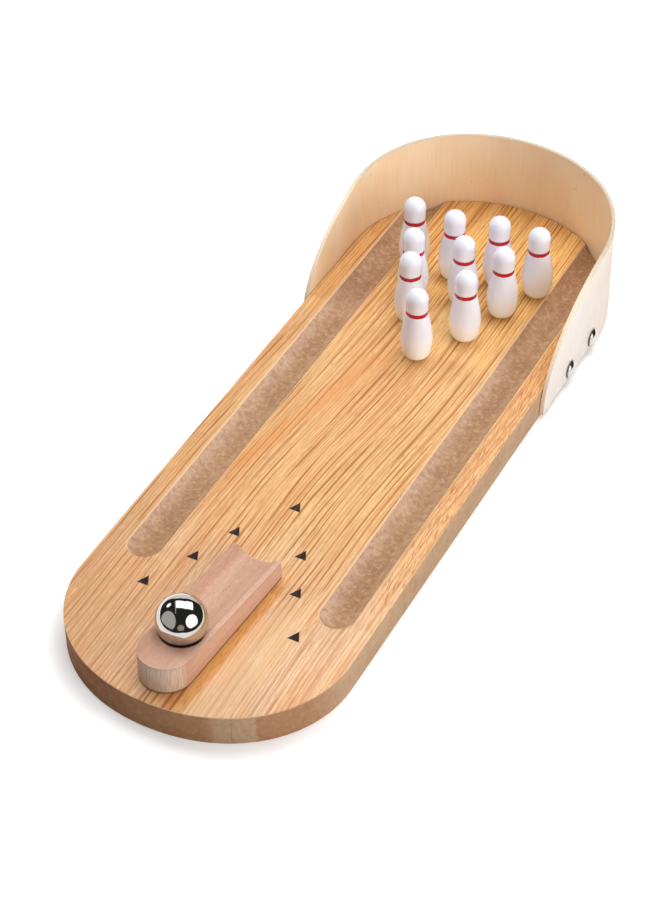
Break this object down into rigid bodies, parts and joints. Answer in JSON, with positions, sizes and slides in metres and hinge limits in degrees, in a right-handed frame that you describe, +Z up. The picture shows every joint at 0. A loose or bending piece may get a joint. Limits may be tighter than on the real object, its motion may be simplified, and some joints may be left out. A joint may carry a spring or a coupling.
{
  "type": "tabletop bowling game",
  "caption": "Tabletop bowling game: laminated board with gutters, bent wooden backstop, swivelling launch ramp with a steel ball, and turned wooden pins.",
  "frame": {"origin": "middle of the footprint, on the surface the game stands on", "axes": "+Y along the lane from the launch ramp towards the pins, +X to the player's right, +Z up"},
  "size_m": [0.108, 0.292, 0.0432],
  "materials": {
    "fibreboard": "raw medium density fibreboard, fine matt speckle",
    "oak_laminate": "straight oak grain with long pores, satin",
    "birch_ply": "bare bent birch plywood, smooth",
    "beech": "sanded pinkish beech, bare",
    "white_paint": "turned wood under gloss white paint, with a red ring painted round the neck",
    "chrome": "polished nickel plate",
    "polished_steel": "mirror polished ball-bearing steel",
    "zinc_steel": "bright zinc plate"
  },
  "bodies": {
    "board": {"base_board": "fibreboard", "lane_veneer": "oak_laminate", "backstop_band": "birch_ply", "band_nail_right_front": "chrome", "band_nail_right_rear": "chrome", "band_nail_left_front": "chrome", "band_nail_left_rear": "chrome"},
    "ramp": {"launch_ramp": "beech", "ramp_pivot_screw": "zinc_steel"},
    "ball": {"steel_ball": "polished_steel"},
    "standing_pin_1": {"pin_1": "white_paint"},
    "standing_pin_2": {"pin_2": "white_paint"},
    "standing_pin_3": {"pin_3": "white_paint"},
    "standing_pin_4": {"pin_4": "white_paint"},
    "standing_pin_5": {"pin_5": "white_paint"},
    "standing_pin_6": {"pin_6": "white_paint"},
    "standing_pin_7": {"pin_7": "white_paint"},
    "standing_pin_8": {"pin_8": "white_paint"},
    "standing_pin_9": {"pin_9": "white_paint"},
    "standing_pin_10": {"pin_10": "white_paint"}
  },
  "joints": [
    {"name": "ramp_swivel", "type": "hinge", "parent": "board", "child": "ramp", "pos_m": [0, -0.13205, 0.01225], "axis": [0, 0, 1], "continuous": true},
    {"name": "ball_run", "type": "slide", "parent": "ramp", "child": "ball", "axis": [0.0574, 0.9962, -0.0651], "range_m": [0, 0.0443]},
    {"name": "lift_pin_1", "type": "slide", "parent": "board", "child": "standing_pin_1", "axis": [0, 0, 1], "range_m": [0, 0.06]},
    {"name": "lift_pin_2", "type": "slide", "parent": "board", "child": "standing_pin_2", "axis": [0, 0, 1], "range_m": [0, 0.06]},
    {"name": "lift_pin_3", "type": "slide", "parent": "board", "child": "standing_pin_3", "axis": [0, 0, 1], "range_m": [0, 0.06]},
    {"name": "lift_pin_4", "type": "slide", "parent": "board", "child": "standing_pin_4", "axis": [0, 0, 1], "range_m": [0, 0.06]},
    {"name": "lift_pin_5", "type": "slide", "parent": "board", "child": "standing_pin_5", "axis": [0, 0, 1], "range_m": [0, 0.06]},
    {"name": "lift_pin_6", "type": "slide", "parent": "board", "child": "standing_pin_6", "axis": [0, 0, 1], "range_m": [0, 0.06]},
    {"name": "lift_pin_7", "type": "slide", "parent": "board", "child": "standing_pin_7", "axis": [0, 0, 1], "range_m": [0, 0.06]},
    {"name": "lift_pin_8", "type": "slide", "parent": "board", "child": "standing_pin_8", "axis": [0, 0, 1], "range_m": [0, 0.06]},
    {"name": "lift_pin_9", "type": "slide", "parent": "board", "child": "standing_pin_9", "axis": [0, 0, 1], "range_m": [0, 0.06]},
    {"name": "lift_pin_10", "type": "slide", "parent": "board", "child": "standing_pin_10", "axis": [0, 0, 1], "range_m": [0, 0.06]}
  ]
}
